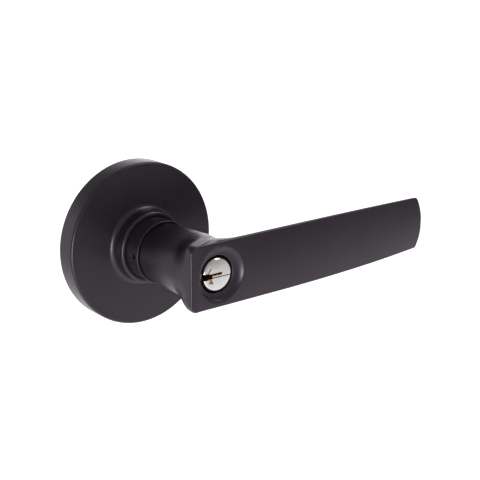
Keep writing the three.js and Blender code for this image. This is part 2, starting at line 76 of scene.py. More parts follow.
DISH = dict(radius=11.9, shift=1.3, floor_radius=9.3, floor=65.7, lip=0.5, rim_slope=10)
DISH |= dict(hole=8.45, hole_lip=0.35)
PLUG = dict(radius=6.35, head=7.45, face=66.2, shoulder=63.7, back=39.55, tail=36.2)
PLUG |= dict(neck=4.9, clip_groove=4.3)
SHELL = dict(radius=9.2, front=63.4, back=39.6, bible_x=11.5, bible_half=3.2)
SEAT = dict(depth=0.45, inset_back=1.8, inset_front=1.5, half=1.9)  # for the cover of the pins
PINS = dict(first=60.4, pitch=3.9, radius=1.35, chamber=1.5, lengths=(5.6, 6.4, 4.8, 6, 5.2))
PINS |= dict(bottom_top=6.2, driver_foot=6.6, driver_top=8.5)
TAILPIECE = dict(half_width=2.6, half_thickness=0.8, back=-32)
SPINDLE = dict(radius=9.2, bore=7.9, front=33.8, back=-4, drive_back=-24, drive_flat=-3.4)
SPINDLE |= dict(end_bore=3.3, groove=8.75, shoulder=10.9, shoulder_width=1.05)
BUSHING_FLANGE = 13.1
WASHER = dict(radius=13.9, back=1.1)
PLATE = dict(radius=36.6, back=0.3, front=3.2, bore=11.5, recess=14.6, recess_out=1.7)
POST = dict(radius=3.9, offset=19, back=-30, bore=1.65, bore_out=-6, spigot=2.5)
SPRING = dict(radius=20, wire=0.65, turns=2, back=4.95, pitch=1.5, leg_end=12.9, leg_angle=9.4)
CAM = dict(radius=12, back=4.3, front=6, arm=15.2, arm_half=5.5, arm_front=8.2)
STOP = dict(inner=16, outer=18.4, half=5.5, front=8.9)
SIDE_STOP = dict(inner=13.5, outer=15.4, half=4, front=7.4, past=6)
WINDOW = dict(inner=23, outer=31, half=15, angles=(35, 145, 215, 325))
CIRCLIP = dict(inner=8.85, outer=10.9, back=0.5, front=1.05, ear=1.35, eye=0.55, ear_x=2.7)
LEVER_SWING = 50  # degrees each way
# Small springs along X; keep is what is left of their length when they are pressed home.
CATCH_SPRING = dict(start=-6.85, end=-3.55, radius=1.4, wire_radius=0.18, turns=3, keep=0.42)
PIN_SPRING = dict(start=8.6, end=11, radius=0.95, wire_radius=0.15, turns=3, keep=0.6)


# ---------------------------------------------------------------- shape helpers


def smooth(start, end, value):
    share = min(max((value - start) / (end - start), 0), 1)
    return share * share * (3 - 2 * share)


def lerp(start, end, share):
    return start + (end - start) * share


def spread(start, end, count):
    """Evenly spaced values from start to end, both included."""
    return [lerp(start, end, i / (count - 1)) for i in range(count)]


def body(name, vertices, faces):
    """A mesh object with its numbers in millimetres, until it is dressed."""
    mesh = bpy.data.meshes.new(name)
    mesh.from_pydata([tuple(v) for v in vertices], [], faces)
    shell = bmesh.new()
    shell.from_mesh(mesh)
    inside_out = shell.calc_volume(signed=True) < 0
    shell.free()
    if inside_out:
        mesh.flip_normals()
    made = bpy.data.objects.new(name, mesh)
    bpy.context.scene.collection.objects.link(made)
    return made


def settle(piece):
    """Applies the piece's modifiers."""
    graph = bpy.context.evaluated_depsgraph_get()
    mesh = bpy.data.meshes.new_from_object(piece.evaluated_get(graph))
    piece.modifiers.clear()
    old = piece.data
    piece.data = mesh
    bpy.data.meshes.remove(old)
    return piece


def combine(operation, base, tools):
    for tool in tools:
        modifier = base.modifiers.new("combine", "BOOLEAN")
        modifier.operation = operation
        modifier.solver = "MANIFOLD"
        modifier.material_mode = "TRANSFER"
        modifier.object = tool
    settle(base)
    for tool in tools:
        bpy.data.objects.remove(tool)
    return tidied(base)


def tidied(piece, nearest=1e-4):
    """Merges points that a cut has left on top of each other."""
    shell = bmesh.new()
    shell.from_mesh(piece.data)
    bmesh.ops.remove_doubles(shell, verts=shell.verts, dist=nearest)
    bmesh.ops.dissolve_degenerate(shell, dist=nearest, edges=shell.edges)
    shell.to_mesh(piece.data)
    shell.free()
    return piece


def cut(base, *tools):
    return combine("DIFFERENCE", base, tools)


def joined(base, *others):
    return combine("UNION", base, others)


def bevelled(piece, width, segments=2, angle=40):
    modifier = piece.modifiers.new("edges", "BEVEL")
    modifier.width = width
    modifier.segments = segments
    modifier.limit_method = "ANGLE"
    modifier.angle_limit = math.radians(angle)
    modifier.use_clamp_overlap = True
    return tidied(settle(piece))


def arc(radius, out, bend, start, end, steps):
    """Points of a round stretch of a turned outline, between two angles in degrees."""
    angles = [math.radians(a) for a in spread(start, end, steps + 1)]
    return [(radius + bend * math.cos(a), out + bend * math.sin(a)) for a in angles]


def softened(outline, bend=0.15, steps=3):
    """The closed outline with each corner rounded off."""
    points = [Vector(p) for p in outline]
    soft = []
    for i, corner in enumerate(points):
        before = points[i - 1] - corner
        after = points[(i + 1) % len(points)] - corner
        on_axis = abs(corner.x) < 1e-6
        turn = before.angle(after) if before.length and after.length else math.pi
        if on_axis or turn > math.radians(165):
            soft.append(tuple(corner))
            continue
        reach = min(bend / math.tan(turn / 2), before.length * 0.45, after.length * 0.45)
        start = corner + before.normalized() * reach
        end = corner + after.normalized() * reach
        for k in range(steps + 1):
            share = k / steps
            first = start.lerp(corner, share)
            second = corner.lerp(end, share)
            soft.append(tuple(first.lerp(second, share)))
    return soft


def turned(outline, segments=96):
    """A closed outline of (radius, out) points turned about the spindle's axis."""
    vertices = []
    rings = []
    for radius, out in outline:
        if radius < 1e-6:
            rings.append([len(vertices)] * segments)
            vertices.append((0, -out, 0))
            continue
        rings.append(list(range(len(vertices), len(vertices) + segments)))
        for j in range(segments):
            angle = 2 * math.pi * j / segments
            vertices.append((radius * math.cos(angle), -out, radius * math.sin(angle)))
    faces = []
    for lower, upper in zip(rings, rings[1:] + rings[:1]):
        for j in range(segments):
            k = (j + 1) % segments
            corners = list(dict.fromkeys((lower[j], upper[j], upper[k], lower[k])))
            if len(corners) > 2:
                faces.append(corners)
    return body("turned", vertices, faces)


def tube(inner, outer, back, front, segments=96, soft=0.12):
    outline = [(inner, back), (outer, back), (outer, front), (inner, front)]
    return turned(softened(outline, soft) if soft else outline, segments)


def rod(radius, start, end, centre=(0, 0, 0), axis="Y", segments=48, soft=0):
    """A rod between two places along an axis, in row coordinates."""
    profile = [(0, start), (radius, start), (radius, end), (0, end)]
    made = turned(softened(profile, soft) if soft else profile, segments)
    made.data.transform(Matrix.Scale(-1, 4, (0, 1, 0)))
    made.data.flip_normals()
    if axis == "X":
        made.data.transform(Matrix.Rotation(-math.pi / 2, 4, "Z"))
    made.data.transform(Matrix.Translation(centre))
    return made


def block(x0, x1, back, front, z0, z1):
    corners = [(x, -out, z) for z in (z0, z1) for out in (back, front) for x in (x0, x1)]
    faces = [(0, 1, 3, 2), (4, 6, 7, 5), (0, 4, 5, 1), (2, 3, 7, 6), (0, 2, 6, 4), (1, 5, 7, 3)]
    return body("block", corners, faces)


def slab(outline, back, front):
    """A flat outline of (x, z) points, given a thickness."""
    count = len(outline)
    vertices = [(x, -out, z) for out in (back, front) for x, z in outline]
    sides = [
        (i, i + count, (i + 1) % count + count, (i + 1) % count) for i in range(count)
    ]
    ends = [tuple(range(count)), tuple(range(2 * count - 1, count - 1, -1))]
    return body("slab", vertices, sides + ends)


def ring_block(inner, outer, middle, half, back, front, steps=16):
    """A piece of a ring: angles are in degrees from +X towards +Z."""
    angles = [math.radians(a) for a in spread(middle - half, middle + half, steps + 1)]
    far = [(outer * math.cos(a), outer * math.sin(a)) for a in angles]
    near = [(inner * math.cos(a), inner * math.sin(a)) for a in reversed(angles)]
    return slab(far + near, back, front)


def loft(rings):
    """A closed skin through rings of equally many points, with a fan over each end."""
    size = len(rings[0])
    vertices = [tuple(p) for ring in rings for p in ring]
    faces = []
    for i in range(len(rings) - 1):
        for j in range(size):
            a = i * size + j
            b = i * size + (j + 1) % size
            faces.append((a, a + size, b + size, b))
    for ring, start, forward in ((rings[0], 0, True), (rings[-1], (len(rings) - 1) * size, False)):
        centre = len(vertices)
        vertices.append(tuple(sum((Vector(p) for p in ring), Vector()) / size))
        for j in range(size):
            pair = (start + j, start + (j + 1) % size)
            faces.append((centre, *(pair if forward else pair[::-1])))
    return body("loft", vertices, faces)


def wire(points, radius, sides=12):
    """Round wire along a list of points close enough to follow."""
    path = [Vector(p) for p in points]
    rings = []
    side = None
    for i, point in enumerate(path):
        along = (path[min(i + 1, len(path) - 1)] - path[max(i - 1, 0)]).normalized()
        if side is None:
            side = along.orthogonal().normalized()
        side = (side - along * side.dot(along)).normalized()
        other = along.cross(side)
        angles = [2 * math.pi * k / sides for k in range(sides)]
        rings.append(
            [point + radius * (math.cos(a) * side - math.sin(a) * other) for a in angles]
        )
    return loft(rings)


def curve_through(points, per_span):
    """Catmull-Rom points through the given ones."""
    path = [Vector(p) for p in points]
    ends = [2 * path[0] - path[1], *path, 2 * path[-1] - path[-2]]
    made = []
    for i in range(1, len(ends) - 2):
        p0, p1, p2, p3 = ends[i - 1 : i + 3]
        for k in range(per_span):
            t = k / per_span
            made.append(
                0.5
                * (
                    2 * p1
                    + (p2 - p0) * t
                    + (2 * p0 - 5 * p1 + 4 * p2 - p3) * t * t
                    + (3 * p1 - p0 - 3 * p2 + p3) * t * t * t
                )
            )
    return [*made, path[-1]]


def compression_spring(out, start, end, radius, wire_radius, turns):
    """A small spring along X with closed ends."""
    per_turn = 28
    count = turns * per_turn
    length = end - start - 2 * wire_radius
    points = []
    for i in range(count + 1):
        angle = 2 * math.pi * i / per_turn
        x = start + wire_radius + length * smooth(0, 1, i / count)
        points.append((x, -out + radius * math.cos(angle), radius * math.sin(angle)))
    return wire(points, wire_radius, 10)


# ---------------------------------------------------------------- materials

SLOT_MATERIALS = {}


class Nodes:
    """Shorthand for one material's node tree."""

    def __init__(self, name):
        self.material = bpy.data.materials.new(name)
        self.material.use_nodes = True
        self.tree = self.material.node_tree
        self.shader = self.tree.nodes["Principled BSDF"]
        self.coordinates = self.add("ShaderNodeTexCoord").outputs["Object"]

    def add(self, kind, **settings):
        node = self.tree.nodes.new(kind)
        for name, value in settings.items():
            setattr(node, name, value)
        return node

    def link(self, output, target):
        self.tree.links.new(output, target)

    def stretched(self, x, y, z):
        mapping = self.add("ShaderNodeMapping")
        mapping.inputs["Scale"].default_value = (x, y, z)
        self.link(self.coordinates, mapping.inputs["Vector"])
        return mapping.outputs["Vector"]

    def noise(self, scale, detail=3, vector=None, roughness=0.55):
        node = self.add("ShaderNodeTexNoise")
        node.inputs["Scale"].default_value = scale
        node.inputs["Detail"].default_value = detail
        node.inputs["Roughness"].default_value = roughness
        self.link(vector or self.coordinates, node.inputs["Vector"])
        return node.outputs["Fac"]

    def remap(self, value, low, high, from_low=0.3, from_high=0.7):
        node = self.add("ShaderNodeMapRange")
        node.inputs["From Min"].default_value = from_low
        node.inputs["From Max"].default_value = from_high
        node.inputs["To Min"].default_value = low
        node.inputs["To Max"].default_value = high
        self.link(value, node.inputs["Value"])
        return node.outputs["Result"]

    def maths(self, operation, first, second):
        node = self.add("ShaderNodeMath", operation=operation)
        for socket, value in zip(node.inputs, (first, second)):
            if isinstance(value, (int, float)):
                socket.default_value = value
            else:
                self.link(value, socket)
        return node.outputs[0]

    def blend_colours(self, factor, first, second):
        node = self.add("ShaderNodeMix", data_type="RGBA")
        colours = [socket for socket in node.inputs if socket.type == "RGBA"]
        for socket, colour in zip(colours, (first, second)):
            if isinstance(colour, tuple):
                socket.default_value = (*colour, 1)
            else:
                self.link(colour, socket)
        self.link(factor, node.inputs["Factor"])
        return next(socket for socket in node.outputs if socket.type == "RGBA")

    def bump(self, height, strength, distance, normal=None):
        node = self.add("ShaderNodeBump")
        node.inputs["Strength"].default_value = strength
        node.inputs["Distance"].default_value = distance
        self.link(height, node.inputs["Height"])
        if normal:
            self.link(normal, node.inputs["Normal"])
        return node.outputs["Normal"]

    def finish(self, colour=None, roughness=None, normal=None, **plain):
        for name, value in plain.items():
            self.shader.inputs[name.replace("_", " ")].default_value = value
        if colour is not None:
            self.link(colour, self.shader.inputs["Base Color"])
        if roughness is not None:
            self.link(roughness, self.shader.inputs["Roughness"])
        if normal is not None:
            self.link(normal, self.shader.inputs["Normal"])
        return self.material


def black_coat():
    """A satin black powder coat: fine grain, soft orange peel and a faint purple-brown cast."""
    n = Nodes("black_coat")
    cloud = n.noise(55, 3)
    tint = n.blend_colours(n.remap(cloud, 0, 1), (0.0105, 0.0084, 0.0110), (0.0135, 0.0109, 0.0140))
    grain = n.noise(6500, 2)
    peel = n.noise(900, 2)
    roughness = n.remap(n.noise(240, 4), 0.28, 0.33)
    normal = n.bump(grain, 0.05, 0.00002, n.bump(peel, 0.02, 0.00004))
    return n.finish(tint, roughness, normal, IOR=1.5, Specular_Tint=(0.97, 0.80, 1, 1))


def chrome():
    """Bright plating with hair-fine polishing marks."""
    n = Nodes("chrome")
    marks = n.noise(1, 3, n.stretched(900, 900, 6000))
    colour = n.blend_colours(n.remap(n.noise(300, 2), 0, 1), (0.74, 0.73, 0.72), (0.82, 0.81, 0.80))
    roughness = n.remap(marks, 0.10, 0.20)
    return n.finish(colour, roughness, n.bump(marks, 0.05, 0.00001), Metallic=1.0)


def brass():
    """Machined brass with tool marks and slight tarnish."""
    n = Nodes("brass")
    marks = n.noise(1, 2, n.stretched(500, 14000, 500))
    tarnish = n.remap(n.noise(420, 4), 0, 1)
    colour = n.blend_colours(tarnish, (0.66, 0.46, 0.17), (0.45, 0.30, 0.12))
    roughness = n.remap(marks, 0.22, 0.38)
    return n.finish(colour, roughness, n.bump(marks, 0.18, 0.00002), Metallic=1.0)


def zinc_plate():
    """Pressed steel under bright zinc: a fine spangle and a faint straw cast."""
    n = Nodes("zinc_plate")
    spangle = n.add("ShaderNodeTexVoronoi")
    spangle.inputs["Scale"].default_value = 420
    n.link(n.coordinates, spangle.inputs["Vector"])
    grain = n.remap(spangle.outputs["Distance"], 0, 1, 0, 0.8)
    cast = n.blend_colours(n.remap(n.noise(70, 3), 0, 1), (0.50, 0.51, 0.52), (0.56, 0.53, 0.44))
    colour = n.blend_colours(n.remap(grain, 0, 0.35, 0, 1), cast, (0.64, 0.64, 0.62))
    roughness = n.remap(n.noise(600, 4), 0.30, 0.46)
    rolled = n.noise(1, 2, n.stretched(5200, 300, 300))
    normal = n.bump(rolled, 0.12, 0.00002, n.bump(grain, 0.05, 0.00002))
    return n.finish(colour, roughness, normal, Metallic=1.0)


def steel():
    """Turned steel: fine tool rings along the axis and a thin film of oil."""
    n = Nodes("steel")
    rings = n.noise(1, 2, n.stretched(250, 16000, 250))
    oil = n.remap(n.noise(150, 3), 0, 1)
    colour = n.blend_colours(oil, (0.50, 0.50, 0.51), (0.40, 0.39, 0.37))
    roughness = n.remap(rings, 0.24, 0.40)
    return n.finish(colour, roughness, n.bump(rings, 0.2, 0.00002), Metallic=1.0)


def spring_steel():
    """Dark drawn wire and blued strip."""
    n = Nodes("spring_steel")
    drawn = n.noise(1, 3, n.stretched(2600, 9000, 2600))
    colour = n.blend_colours(n.remap(n.noise(500, 2), 0, 1), (0.22, 0.22, 0.24), (0.32, 0.32, 0.33))
    roughness = n.remap(drawn, 0.22, 0.36)
    return n.finish(colour, roughness, n.bump(drawn, 0.12, 0.00001), Metallic=1.0)


def nylon():
    """Natural moulded nylon, slightly waxy."""
    n = Nodes("nylon")
    colour = n.blend_colours(n.remap(n.noise(200, 3), 0, 1), (0.68, 0.65, 0.56), (0.74, 0.72, 0.64))
    roughness = n.remap(n.noise(900, 3), 0.42, 0.56)
    grain = n.bump(n.noise(4200, 2), 0.1, 0.00002)
    return n.finish(colour, roughness, grain, Subsurface_Weight=0.15, Subsurface_Scale=0.002)


for make in (black_coat, chrome, brass, zinc_plate, steel, spring_steel, nylon):
    SLOT_MATERIALS[make.__name__] = make()

RECORD = frame["record"]
SLOT_OF = {row["node"]: row["material_slot"] for row in RECORD["subparts"]}
BODY_OF = {
    node: body_name
    for body_name, nodes in RECORD["behaviour"]["bodies"].items()
    for node in nodes
}


def dress(piece, node, sharp=32):
    """Stores the piece in metres and lets it stand for a node of the frame.

    A piece with materials of its own keeps them, and any other takes its slot's.
    """
    mesh = piece.data
    mesh.transform(Matrix.Scale(MM, 4))
    mesh.shade_smooth()
    mesh.set_sharp_from_angle(angle=math.radians(sharp))
    if not any(mesh.materials):
        mesh.materials.clear()
        mesh.materials.append(SLOT_MATERIALS[SLOT_OF[node]])
    piece.name = f"{node}_fine"
    mesh.name = piece.name
    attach(piece, BODY_OF[node])
    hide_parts(node)
    return piece


def dress_spring(size, out, node):
    """A compression spring along X, dressed for its node with a mesh of its own."""
    shape = {name: value for name, value in size.items() if name != "keep"}
    spring = dress(compression_spring(out, **shape), node)
    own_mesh(spring)


# ---------------------------------------------------------------- rose and spring cage


def rose_cover():
    radius, depth, wall, edge = (ROSE[k] for k in ("radius", "depth", "wall", "edge"))
    foot, fillet, top, bore, rim = (BOSS[k] for k in ("foot", "fillet", "top", "bore", "rim"))
    face = depth + ROSE["crown"]
    outside = [
        (radius, 0),
        *arc(radius - edge, depth - edge, edge, 0, 90, 10),
        *arc(foot, face + fillet, fillet, 270, 188, 20),
        *arc(BOSS["radius"] - rim, top - rim, rim, 0, 88, 10),
        (bore + 0.3, top),
        (bore + 0.08, top - 0.08),
        (bore, top - 0.3),
    ]
    inside = [
        (bore, top - 2),
        (BOSS["radius"] - wall + 0.2, top - 2.8),
        *arc(foot + 0.2, face + fillet - 0.6, fillet + 0.8, 190, 270, 12),
        *arc(radius - wall - 0.5, depth - wall - 0.5, 0.5, 90, 0, 4),
        (radius - wall, 0),
    ]
    return turned(outside + inside, 256)


def collar():
    base, lip, out, bore = (COLLAR[k] for k in ("base", "lip", "out", "bore"))
    back = COLLAR["back"]
    step, floor = COUNTERBORE["radius"], COUNTERBORE["out"]
    rounding = (lip - step) / 2
    sleeve = turned(
        [
            (bore, back),
            (COLLAR["flange"], back),
            (COLLAR["flange"], back + 1.1),
            (base, back + 1.1),
            (base, BOSS["top"]),
            *arc(lip - rounding, out - rounding, rounding, 0, 180, 10),
            (step, floor),
            (bore, floor),
        ],
        192,
    )
    reach = rod(CATCH["tool_hole"], -base - 2, -bore + 2, (0, -CATCH["out"], 0), "X")
    flare = cone(CATCH["tool_hole"], 0.2, -base, CATCH["out"])
    return cut(sleeve, reach, flare)


def cone(radius, depth, x, out):
    """A tool for the chamfer of a hole of this radius in a side that faces -X."""
    profile = [(0, 1), (radius + depth + 1, 1), (radius, -depth), (0, -depth)]
    made = turned(profile, 48)
    made.data.transform(Matrix.Rotation(-math.pi / 2, 4, "Z"))
    made.data.transform(Matrix.Translation((x, -out, 0)))
    return made


def mounting_plate():
    radius, back, front = (PLATE[k] for k in ("radius", "back", "front"))
    disc = turned(
        softened(
            [
                (PLATE["bore"], PLATE["recess_out"]),
                (PLATE["recess"], PLATE["recess_out"]),
                (PLATE["recess"], back),
                (radius - 0.6, back),
                (radius, back + 0.6),
                (radius, front),
                (PLATE["bore"], front),
            ]
        ),
        144,
    )
    limit = LEVER_SWING + CAM["arm_half"] + SIDE_STOP["past"]
    root = front - 0.5
    stops = [
        ring_block(kind["inner"], kind["outer"], angle, kind["half"], root, kind["front"])
        for kind, angle in ((STOP, 90), (SIDE_STOP, 90 - limit), (SIDE_STOP, 90 + limit))
    ]
    holes = [
        rod(POST["spigot"] + 0.1, -front - 1, -back + 1, (0, 0, side * POST["offset"]))
        for side in (1, -1)
    ]
    windows = [
        ring_block(WINDOW["inner"], WINDOW["outer"], angle, WINDOW["half"], back - 1, front + 1)
        for angle in WINDOW["angles"]
    ]
    return bevelled(cut(joined(disc, *stops), *holes, *windows), 0.2)


def mounting_post(side):
    z = side * POST["offset"]
    outline = [
        (0, POST["back"]),
        (POST["radius"], POST["back"]),
        (POST["radius"], PLATE["back"] - 0.02),
        (POST["spigot"], PLATE["back"] - 0.02),
        (POST["spigot"], PLATE["front"]),
        (0, PLATE["front"]),
    ]
    barrel = turned(softened(outline, 0.35, 3), 72)
    thread = thread_tool(POST["bore"], POST["back"] - 1, POST["bore_out"], 0.7)
    post = cut(barrel, thread)
    post.data.transform(Matrix.Translation((0, 0, z)))
    return post


def thread_tool(radius, back, front, pitch):
    """A rod with ridges at the thread's pitch, and a lead-in at its back end."""
    crest = radius + 0.3
    count = int((front - back - 2) / pitch)
    outline = [(0, back), (crest + 0.5, back), (crest + 0.5, back + 1), (crest, back + 1.6)]
    for i in range(count):
        start = back + 1.7 + pitch * i
        outline += [(crest, start), (radius, start + 0.25)]
        outline += [(radius, start + 0.4), (crest, start + 0.6)]
    outline += [(radius, front), (0, front)]
    return turned(outline, 48)


def spindle_bushing():
    inner = SPINDLE["radius"] + RUNNING
    outline = [
        (inner, PLATE["recess_out"] + 0.05),
        (PLATE["bore"] - 0.1, PLATE["recess_out"] + 0.05),
        (PLATE["bore"] - 0.1, PLATE["front"] + 0.05),
        (BUSHING_FLANGE, PLATE["front"] + 0.05),
        (BUSHING_FLANGE, CAM["back"] - 0.15),
        (inner, CAM["back"] - 0.15),
    ]
    return turned(softened(outline), 96)


def thrust_washer():
    inner = SPINDLE["radius"] + RUNNING
    return tube(inner, WASHER["radius"], WASHER["back"], PLATE["recess_out"])


def return_spring():
    radius, turns, back = SPRING["radius"], SPRING["turns"], SPRING["back"]
    leg = SPRING["leg_angle"]
    per_turn = 16
    count = turns * per_turn
    lead = 180 / per_turn
    start = 90 + leg
    sweep = 360 * turns - 2 * leg
    rise = SPRING["pitch"] * turns

    def at(r, degrees, out):
        angle = math.radians(degrees)
        return (r * math.cos(angle), -out, r * math.sin(angle))

    coil = [
        at(radius, start + lead + (sweep - 2 * lead) * i / count, back + rise * i / count)
        for i in range(count + 1)
    ]
    half_way = (SPRING["leg_end"] + radius) / 2
    path = [
        at(SPRING["leg_end"], start, back),
        at(half_way, start, back),
        at(radius - 0.9, start + 1, back),
        *coil[1:-1],
        at(radius - 0.9, start + sweep - 1, back + rise),
        at(half_way, start + sweep, back + rise),
        at(SPRING["leg_end"], start + sweep, back + rise),
    ]
    return wire(curve_through(path, 6), SPRING["wire"], 14)


def cam_plate():
    ring = tube(SPINDLE["radius"] + 0.1, CAM["radius"], CAM["back"], CAM["front"], 96, 0)
    foot = ring_block(
        CAM["radius"] - 0.8, CAM["arm"], 90, CAM["arm_half"], CAM["back"], CAM["arm_front"]
    )
    notches = [
        block(x, x + 2.5, CAM["back"] - 1, CAM["front"] + 1, -1.7, 1.7) for x in (8, -10.5)
    ]
    return bevelled(cut(joined(ring, foot), *notches), 0.12)


# ---------------------------------------------------------------- spindle and catch


def spindle():
    radius, bore, front = SPINDLE["radius"], SPINDLE["bore"], SPINDLE["front"]
    back, drive_back = SPINDLE["back"], SPINDLE["drive_back"]
    end_bore, groove, shoulder = (SPINDLE[k] for k in ("end_bore", "groove", "shoulder"))
    shoulder_back = CAM["front"] + 0.05
    shoulder_front = shoulder_back + SPINDLE["shoulder_width"]
    body_outline = [
        (end_bore, back),
        (radius - 0.5, back),
        (radius, back + 0.5),
        (radius, 0.45),
        (groove, 0.45),
        (groove, WASHER["back"]),
        (radius, WASHER["back"]),
        (radius, shoulder_back),
        (shoulder, shoulder_back),
        (shoulder, shoulder_front),
        (radius, shoulder_front),
        (radius, front - 0.5),
        (radius - 0.5, front),
        (bore, front),
        (bore, back + 2),
        (end_bore, back + 2),
    ]
    sleeve = turned(softened(body_outline, 0.08, 2), 120)
    keys = cut(
        block(-10.2, 10.2, CAM["back"] + 0.1, CAM["front"] + 0.3, -1.5, 1.5),
        rod(bore + 0.6, -CAM["front"] - 1, -CAM["back"] + 1),
    )
    lever_key = block(bore + 0.8, BORE["slot_x"] - GAP, SHANK["out"] + 1, front - 1, -3, 3)
    drive = cut(
        rod(radius - 1, -back - 0.5, -drive_back, segments=96, soft=0.3),
        block(-12, 12, drive_back - 1, back + 1, SPINDLE["drive_flat"], 12),
    )
    window = rod(CATCH["stem"] + RUNNING, -radius - 1, -bore + 1, (0, -CATCH["out"], 0), "X")
    return bevelled(cut(joined(sleeve, keys, lever_key, drive), window), 0.1)


def circlip():
    back, front = CIRCLIP["back"], CIRCLIP["front"]
    ring = tube(CIRCLIP["inner"], CIRCLIP["outer"], back, front, 96, 0)
    opening = block(-1.6, 1.6, back - 0.5, front + 0.95, -13, -6)
    places = [(side * CIRCLIP["ear_x"], 0, -11.2) for side in (1, -1)]
    ears = [rod(CIRCLIP["ear"], -front, -back, place) for place in places]
    eyes = [rod(CIRCLIP["eye"], -front - 0.95, -back + 0.5, place) for place in places]
    return bevelled(cut(joined(cut(ring, opening), *ears), *eyes), 0.06)


def lever_catch():
    centre = (0, -CATCH["out"], 0)
    head = rod(CATCH["head"], -7.5, -6.9, centre, "X", soft=0.1)
    stem = rod(CATCH["stem"], -CATCH["end"], -7, centre, "X", soft=0.3)
    return joined(stem, head)


def catch_bridge():
    out = CATCH["out"]
    reach, half, sheet = 3, 4, 0.8
    seat = block(-3.5, -3, out - reach, out + reach, -half, half)
    legs = [
        block(-6.5, -3.2, out - reach, out + reach, z, z + sheet) for z in (half - sheet, -half)
    ]
    return bevelled(joined(seat, *legs), 0.15)


# ---------------------------------------------------------------- lever


def face_out(x):
    """The lever's front face leans back towards the door as it runs to the tip."""
    start = ARM["bend_start"]
    return FACE["out"] - ARM["bend"] * (max(x - start, 0) / (ARM["length"] - start)) ** 2


def half_height(x):
    start = ARM["taper_start"]
    along = max(x - start, 0) / (ARM["length"] - start)
    return ARM["half"] - (ARM["half"] - ARM["tip_half"]) * along**2


def neck_radius(out):
    left = max(NECK["flare_end"] - out, 0) / (NECK["flare_end"] - NECK["out"])
    return NECK["flared"] - (NECK["flared"] - NECK["radius"]) * left**1.8


def square_share(out):
    """How far the round neck has turned into the square head."""
    return smooth(HEAD["square_start"], HEAD["square_end"], out)


def left_side(out):
    """The head's left side sweeps out of the neck and then runs on straight to the face."""
    return lerp(-neck_radius(out), FACE["left"], smooth(HEAD["flare_start"], HEAD["flare_end"], out))


def draw_in(radius, depth):
    """How far a rounded edge draws in, at a depth from the side it rounds into."""
    left = min(max(radius - depth, 0), radius)
    return radius - math.sqrt(radius * radius - left * left)


def square_height(x, out):
    """Half the height of the squared head and arm at a point of the plan view."""
    corner = draw_in(FACE["corner"], x - left_side(out))
    return half_height(x) - corner - draw_in(FACE["edge"], face_out(x) - out)


def half_section(outer, inner, squareness, band):
    """The upper half of a section: (distance from the outer point, height) pairs."""
    width = (inner - outer).length

    def at(s):
        return outer.lerp(inner, s / width)

    def height(s):
        point = at(s)
        return square_height(point.x, point.y)

    on_face = smooth(FACE["left"], FACE["left"] + 6, outer.x)
    rounding = lerp(FACE["corner"] * 1.1, FACE["edge"], on_face)
    crown = on_face * FACE["crown"]
    half = [(crown * share**2, height(0) * share) for share in spread(0, 1, 17)]
    for degrees in spread(0, 90, 9)[1:]:
        depth = rounding * (1 - math.cos(math.radians(degrees)))
        half.append((crown + depth, height(depth)))
    waist = max(band, rounding + crown + 0.2)
    for degrees in spread(0, 90, 20):
        angle = math.radians(degrees)
        half.append((lerp(waist, width, math.sin(angle)), height(waist) * math.cos(angle)))
    centre = width / 2
    middle = at(centre)
    round_height = centre
    if squareness > 0:
        round_height = height(centre) + draw_in(FACE["edge"], face_out(middle.x) - middle.y)
    section = []
    for s, z in half:
        angle = math.atan2(z, centre - s)
        reach = 1 / math.hypot(math.cos(angle) / centre, math.sin(angle) / round_height)
        section.append(
            (
                lerp(centre - reach * math.cos(angle), s, squareness),
                lerp(reach * math.sin(angle), z, squareness),
            )
        )
    return section


def lever_stations():
    """Outer and inner plan points, squareness and band, from the neck's foot to the tip."""
    turn_start = NECK["turn_start"]
    pivot = Vector((neck_radius(turn_start) + INNER_FILLET, ARM["back"] - INNER_FILLET))
    stations = []
    for out in spread(NECK["out"], NECK["straight_end"], 24):
        radius = neck_radius(out)
        stations.append((Vector((-radius, out)), Vector((radius, out)), 0, radius))

    def fan(outer):
        spoke = outer - pivot
        angle = math.atan2(spoke.y, -spoke.x)
        width = spoke.length - INNER_FILLET
        inner = pivot + spoke.normalized() * INNER_FILLET
        band = lerp(width / 2, ARM["band"], smooth(BAND_TURN["start"], BAND_TURN["end"], angle))
        stations.append((outer, inner, square_share(outer.y), band))

    edge = FACE["edge"]
    for out in spread(turn_start, FACE["out"] - edge, 34):
        fan(Vector((left_side(out), out)))
    for degrees in spread(0, 90, 8)[1:]:
        angle = math.radians(degrees)
        x = FACE["left"] + edge * (1 - math.cos(angle))
        fan(Vector((x, FACE["out"] - edge * (1 - math.sin(angle)))))
    for x in spread(FACE["left"] + edge, pivot.x - 0.8, 52)[1:]:
        fan(Vector((x, face_out(x))))
    for x in spread(pivot.x, ARM["length"] - TIP_ROUND, 70):
        share = (x - pivot.x) / (ARM["length"] - pivot.x)
        thickness = lerp(face_out(pivot.x) - ARM["back"], ARM["tip_thickness"], share)
        outer = Vector((x, face_out(x)))
        stations.append((outer, Vector((x, outer.y - thickness)), 1, ARM["band"]))
    return stations


